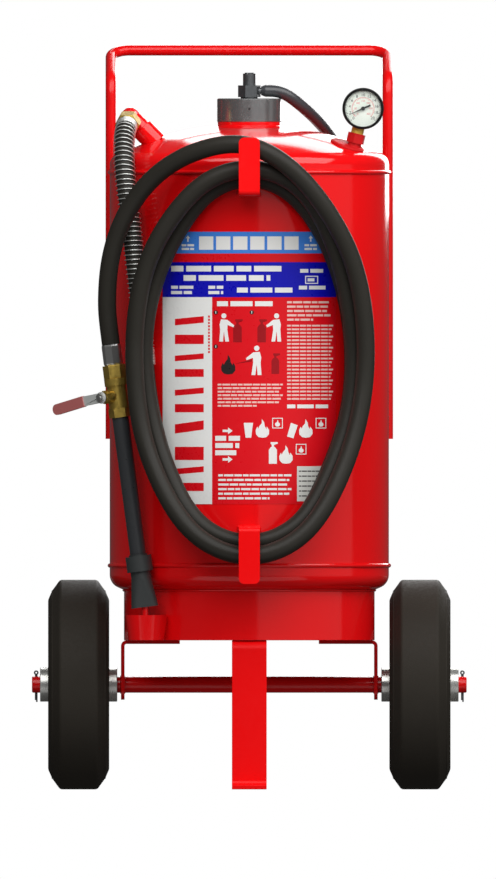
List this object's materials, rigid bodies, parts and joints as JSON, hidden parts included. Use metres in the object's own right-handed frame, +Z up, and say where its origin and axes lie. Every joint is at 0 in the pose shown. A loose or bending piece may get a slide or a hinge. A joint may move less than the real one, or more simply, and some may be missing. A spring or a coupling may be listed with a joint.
{
  "type": "wheeled fire extinguisher",
  "caption": "Upright red powder tank on two wheels and a front leg, with a tube handle, a coiled discharge hose on two hooks, a lance in a cup, a gauge and a rear gas cylinder.",
  "frame": {"origin": "on the floor, under the middle of the object's bounding box", "axes": "+Z up, -Y is the front with the label, hooks and gauge, +X to the viewer's right when facing the front"},
  "size_m": [0.7008, 0.672, 1.2],
  "materials": {
    "red_paint": "gloss",
    "label": "gloss",
    "cap_grey": "satin",
    "seal_black": "matte",
    "zinc": "satin",
    "steel_dark": "satin",
    "hose_rubber": "satin",
    "brass": "satin",
    "ptfe": "matte",
    "chrome": "gloss",
    "lever_steel": "satin",
    "grip": "matte",
    "lance_plastic": "satin",
    "gauge_black": "gloss",
    "gauge_face": "satin",
    "lens": "gloss",
    "needle_black": "matte",
    "tyre": "matte",
    "rim_cream": "gloss",
    "hub_steel": "satin",
    "bush": "matte",
    "co2_grey": "gloss",
    "bakelite": "satin"
  },
  "bodies": {
    "tank": {"tank_barrel": "red_paint", "top_dish": "red_paint", "bottom_dish": "red_paint", "weld_seams": "red_paint", "base_skirt": "red_paint", "front_label": "label", "filler_neck": "red_paint", "filler_cap": "cap_grey", "cap_gasket": "seal_black", "gas_inlet_fitting": "steel_dark", "relief_valve": "steel_dark", "gas_hose": "hose_rubber", "gas_hose_ferrules": "zinc", "gas_tube": "zinc", "siphon_tube": "zinc", "outlet_elbow": "red_paint", "outlet_nut": "brass", "discharge_hose": "hose_rubber", "spring_guard": "zinc", "hose_ferrule": "zinc", "valve_adapter": "brass", "valve_body": "brass", "valve_seats": "ptfe", "packing_nut": "brass", "lance_tube": "lance_plastic", "nozzle": "lance_plastic", "nozzle_cup": "red_paint", "upper_hook": "red_paint", "lower_hook": "red_paint", "handle_frame": "red_paint", "gauge_pad": "red_paint", "gauge_stem": "brass", "gauge_case": "gauge_black", "gauge_bezel": "gauge_black", "gauge_dial": "gauge_face", "gauge_lens": "lens", "bourdon_tube": "brass", "axle": "red_paint", "axle_brackets": "red_paint", "front_leg": "red_paint", "split_pins": "zinc", "co2_cylinder": "co2_grey", "co2_cradle": "red_paint", "co2_straps": "zinc", "co2_valve": "brass"},
    "wheel_left": {"tyre_left": "tyre", "rim_left": "rim_cream", "hub_left": "hub_steel", "bushes_left": "bush"},
    "wheel_right": {"tyre_right": "tyre", "rim_right": "rim_cream", "hub_right": "hub_steel", "bushes_right": "bush"},
    "valve_handle": {"valve_ball": "chrome", "valve_stem": "zinc", "valve_lever": "lever_steel", "lever_nut": "zinc", "lever_grip": "grip"},
    "needle": {"gauge_needle": "needle_black"},
    "handwheel": {"co2_handwheel": "bakelite"}
  },
  "joints": [
    {"name": "wheel_left_spin", "type": "hinge", "parent": "tank", "child": "wheel_left", "pos_m": [-0.2751, 0.0615, 0.169], "axis": [1, 0, 0], "continuous": true},
    {"name": "wheel_right_spin", "type": "hinge", "parent": "tank", "child": "wheel_right", "pos_m": [0.2751, 0.0615, 0.169], "axis": [1, 0, 0], "continuous": true},
    {"name": "lance_valve", "type": "hinge", "parent": "tank", "child": "valve_handle", "pos_m": [-0.21232, -0.1865, 0.63469], "axis": [-0.7013, -0.7071, -0.0905], "range_deg": [0, 90]},
    {"name": "gauge_pressure", "type": "hinge", "parent": "tank", "child": "needle", "pos_m": [0.1834, -0.1185, 1.0976], "axis": [0, 1, 0], "range_deg": [-21, 249]},
    {"name": "gas_valve_turn", "type": "hinge", "parent": "tank", "child": "handwheel", "pos_m": [0, 0.2795, 0.857], "axis": [0, 0, 1], "range_deg": [0, 300]}
  ]
}
